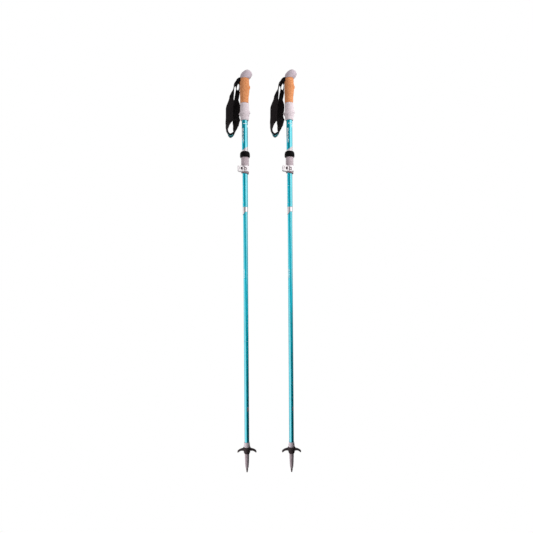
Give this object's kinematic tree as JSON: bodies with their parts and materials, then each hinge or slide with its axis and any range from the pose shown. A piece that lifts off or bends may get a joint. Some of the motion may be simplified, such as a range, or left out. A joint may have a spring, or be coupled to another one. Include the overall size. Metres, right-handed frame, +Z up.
{
  "type": "trekking poles",
  "caption": "Pair of folding trekking poles with angled rubber heads, cork grips, padded wrist loops, lever length clamps, pull-apart shafts, small two-winged baskets and hard tips.",
  "frame": {"origin": "centre of the left pole's flat tip face", "axes": "+Z up along the left shaft, towards the grip; +X towards the right pole, and the way both heads lean; -X the side the wrist straps hang on; -Y the side the clamp levers wrap round"},
  "size_m": [0.2198, 0.044, 1.2],
  "materials": {
    "teal_anodised": "glossy teal anodising",
    "bare_aluminium": "polished, no dye",
    "white_coated": "white coating, semi-gloss",
    "steel": "plain steel",
    "dark_steel": "dark hardened metal",
    "cork": "natural composition cork, satin",
    "grey_rubber": "pale grey moulded rubber, matt",
    "grey_plastic": "mid-grey moulding",
    "dark_plastic": "charcoal moulding, matt",
    "black_rubber": "black moulded rubber, satin",
    "black_webbing": "black woven polyester",
    "label_weave": "woven label with two teal lines",
    "cord_braid": "braided elastic cord"
  },
  "bodies": {
    "left_upper": {"left_head_cap": "grey_rubber", "left_cork_grip": "cork", "left_lower_grip": "grey_rubber", "left_strap_pin": "steel", "left_strap_root": "black_webbing", "left_strap_wedge": "dark_plastic", "left_upper_tube": "teal_anodised", "left_clamp_boot": "black_rubber", "left_clamp_sleeve": "grey_plastic", "left_clamp_band": "white_coated", "left_lever_barrel": "steel", "left_clamp_screw": "steel", "left_wiper_ring": "dark_plastic"},
    "left_strap": {"left_strap_webbing": "black_webbing", "left_strap_pad": "black_webbing", "left_strap_label": "label_weave"},
    "left_lever": {"left_clamp_lever": "white_coated"},
    "left_nut": {"left_thumb_nut": "dark_steel"},
    "left_middle": {"left_middle_tube": "teal_anodised", "left_guide_bush": "dark_plastic", "left_ferrule": "bare_aluminium"},
    "left_lower": {"left_lower_tube": "teal_anodised", "left_upper_spigot": "bare_aluminium", "left_shock_cord": "cord_braid"},
    "left_bottom": {"left_bottom_tube": "teal_anodised", "left_lower_spigot": "bare_aluminium", "left_flex_tip": "grey_plastic", "left_tip_insert": "dark_steel"},
    "left_basket": {"left_basket": "dark_plastic"},
    "right_upper": {"right_head_cap": "grey_rubber", "right_cork_grip": "cork", "right_lower_grip": "grey_rubber", "right_strap_pin": "steel", "right_strap_root": "black_webbing", "right_strap_wedge": "dark_plastic", "right_upper_tube": "teal_anodised", "right_clamp_boot": "black_rubber", "right_clamp_sleeve": "grey_plastic", "right_clamp_band": "white_coated", "right_lever_barrel": "steel", "right_clamp_screw": "steel", "right_wiper_ring": "dark_plastic"},
    "right_strap": {"right_strap_webbing": "black_webbing", "right_strap_pad": "black_webbing", "right_strap_label": "label_weave"},
    "right_lever": {"right_clamp_lever": "white_coated"},
    "right_nut": {"right_thumb_nut": "dark_steel"},
    "right_middle": {"right_middle_tube": "teal_anodised", "right_guide_bush": "dark_plastic", "right_ferrule": "bare_aluminium"},
    "right_lower": {"right_lower_tube": "teal_anodised", "right_upper_spigot": "bare_aluminium", "right_shock_cord": "cord_braid"},
    "right_bottom": {"right_bottom_tube": "teal_anodised", "right_lower_spigot": "bare_aluminium", "right_flex_tip": "grey_plastic", "right_tip_insert": "dark_steel"},
    "right_basket": {"right_basket": "dark_plastic"}
  },
  "joints": [
    {"name": "poles_apart", "type": "slide", "parent": "left_upper", "child": "right_upper", "axis": [1, 0, 0], "range_m": [0, 0.3]},
    {"name": "left_strap_swing", "type": "hinge", "parent": "left_upper", "child": "left_strap", "pos_m": [-0.0185, 0, 1.1685], "axis": [0, 1, 0], "range_deg": [0, 75]},
    {"name": "left_lever_open", "type": "hinge", "parent": "left_upper", "child": "left_lever", "pos_m": [-0.0179, -0.0086, 0.9035], "axis": [0, 0, -1], "range_deg": [0, 120]},
    {"name": "left_nut_turn", "type": "hinge", "parent": "left_upper", "child": "left_nut", "pos_m": [-0.0179, 0.007, 0.9035], "axis": [0, 1, 0], "range_deg": [-360, 360]},
    {"name": "left_length", "type": "slide", "parent": "left_upper", "child": "left_middle", "axis": [0, 0, 1], "range_m": [-0.05, 0.1]},
    {"name": "left_upper_pull", "type": "slide", "parent": "left_middle", "child": "left_lower", "axis": [0, 0, -1], "range_m": [0, 0.055]},
    {"name": "left_lower_pull", "type": "slide", "parent": "left_lower", "child": "left_bottom", "axis": [0, 0, -1], "range_m": [0, 0.055]},
    {"name": "left_basket_turn", "type": "hinge", "parent": "left_bottom", "child": "left_basket", "pos_m": [0, 0, 0.068], "axis": [0, 0, 1], "range_deg": [0, 90]},
    {"name": "right_strap_swing", "type": "hinge", "parent": "right_upper", "child": "right_strap", "pos_m": [0.1145, 0, 1.1685], "axis": [0, 1, 0], "range_deg": [0, 20]},
    {"name": "right_lever_open", "type": "hinge", "parent": "right_upper", "child": "right_lever", "pos_m": [0.1151, -0.0086, 0.9035], "axis": [0, 0, -1], "range_deg": [0, 120]},
    {"name": "right_nut_turn", "type": "hinge", "parent": "right_upper", "child": "right_nut", "pos_m": [0.1151, 0.007, 0.9035], "axis": [0, 1, 0], "range_deg": [-360, 360]},
    {"name": "right_length", "type": "slide", "parent": "right_upper", "child": "right_middle", "axis": [0, 0, 1], "range_m": [-0.05, 0.1]},
    {"name": "right_upper_pull", "type": "slide", "parent": "right_middle", "child": "right_lower", "axis": [0, 0, -1], "range_m": [0, 0.055]},
    {"name": "right_lower_pull", "type": "slide", "parent": "right_lower", "child": "right_bottom", "axis": [0, 0, -1], "range_m": [0, 0.055]},
    {"name": "right_basket_turn", "type": "hinge", "parent": "right_bottom", "child": "right_basket", "pos_m": [0.133, 0, 0.068], "axis": [0, 0, 1], "range_deg": [0, 90]}
  ]
}
